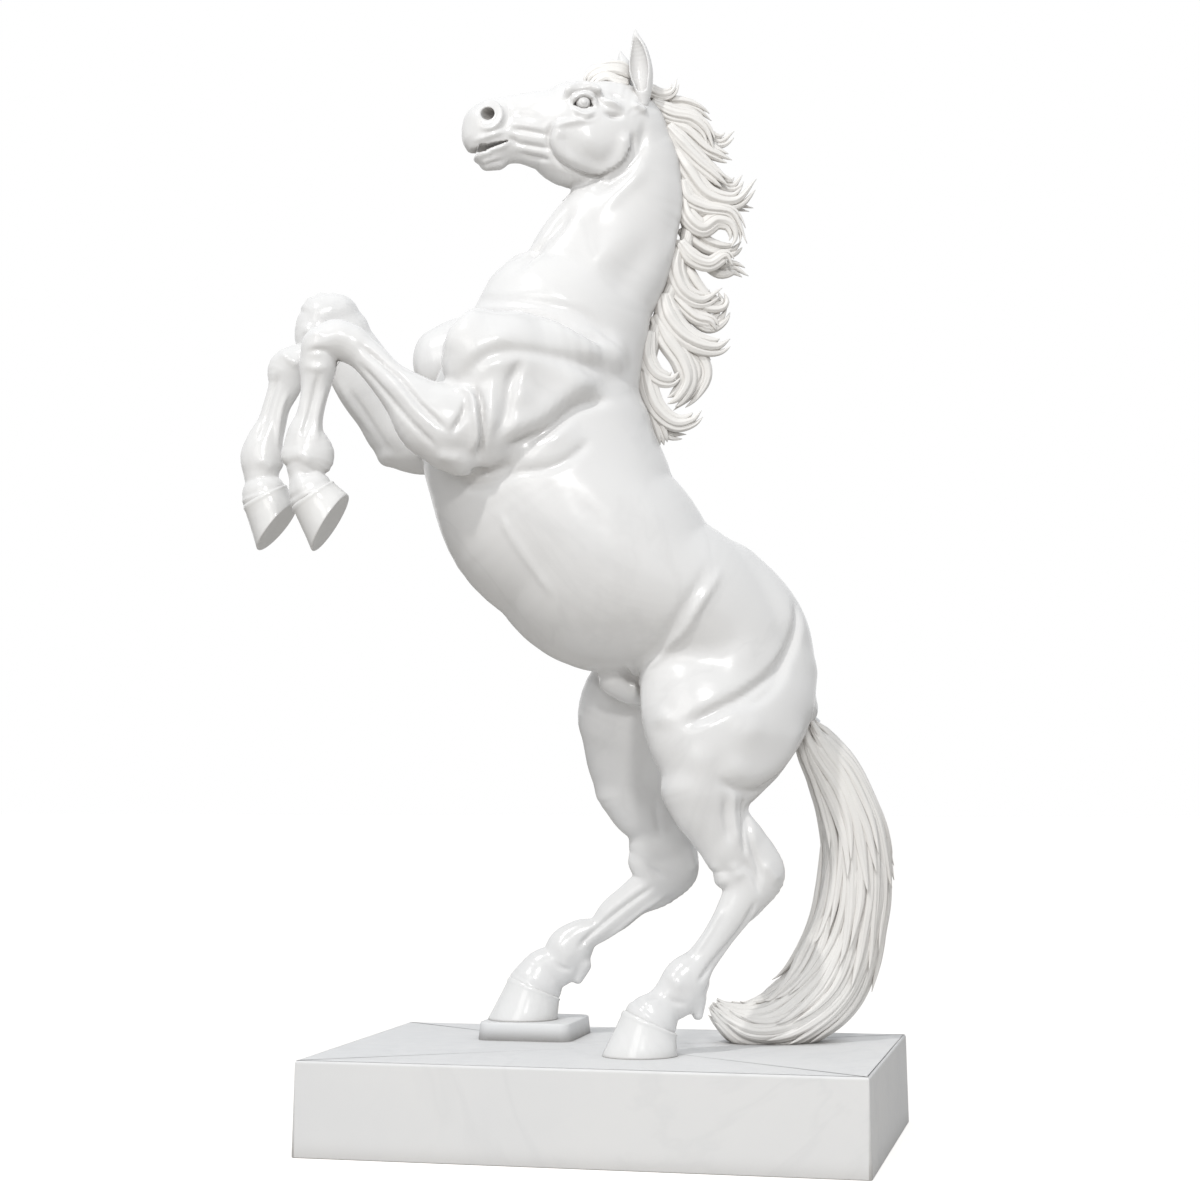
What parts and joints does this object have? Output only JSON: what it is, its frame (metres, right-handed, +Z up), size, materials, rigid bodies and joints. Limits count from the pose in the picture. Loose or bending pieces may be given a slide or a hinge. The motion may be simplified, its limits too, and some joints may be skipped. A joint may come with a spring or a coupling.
{
  "type": "marble horse sculpture",
  "caption": "Life-size white marble statue of a rearing horse on a rectangular plinth, carved in pinned blocks, standing on its hind hooves and tail.",
  "frame": {"origin": "centre of the plinth's underside", "axes": "+Z up, X along the plinth's long side with the horse facing about -X, +Y towards the horse's right side"},
  "size_m": [1.7904, 0.988, 3.1054],
  "materials": {
    "body_marble": "polished white marble",
    "hair_marble": "carved white marble, honed",
    "hoof_marble": "polished white marble",
    "plinth_marble": "honed white marble",
    "steel": "plain drawn stainless bar"
  },
  "bodies": {
    "root": {"plinth": "plinth_marble", "hoof_pad": "plinth_marble", "torso": "body_marble", "neck": "body_marble", "head": "body_marble", "left_ear": "body_marble", "right_ear": "body_marble", "left_eye": "body_marble", "right_eye": "body_marble", "forelock": "hair_marble", "mane_1": "hair_marble", "mane_2": "hair_marble", "mane_3": "hair_marble", "mane_4": "hair_marble", "tail_upper": "hair_marble", "tail_lower": "hair_marble", "left_forearm": "body_marble", "left_fore_cannon": "body_marble", "left_fore_hoof": "hoof_marble", "left_gaskin": "body_marble", "left_hind_cannon": "body_marble", "left_hind_hoof": "hoof_marble", "right_forearm": "body_marble", "right_fore_cannon": "body_marble", "right_fore_hoof": "hoof_marble", "right_gaskin": "body_marble", "right_hind_cannon": "body_marble", "right_hind_hoof": "hoof_marble", "left_elbow_dowel": "steel", "left_knee_dowel": "steel", "left_fore_hoof_dowel": "steel", "left_stifle_dowel": "steel", "left_hock_dowel": "steel", "left_anchor_rod": "steel", "right_elbow_dowel": "steel", "right_knee_dowel": "steel", "right_fore_hoof_dowel": "steel", "right_stifle_dowel": "steel", "right_hock_dowel": "steel", "right_anchor_rod": "steel", "left_neck_rod": "steel", "right_neck_rod": "steel", "head_rod": "steel", "left_ear_pin": "steel", "right_ear_pin": "steel", "mane_1_pin": "steel", "mane_2_pin": "steel", "mane_3_pin": "steel", "mane_4_pin": "steel", "forelock_pin": "steel", "tail_root_dowel": "steel", "tail_dowel": "steel", "tail_foot_dowel": "steel", "hoof_pad_pin": "steel"}
  },
  "joints": []
}
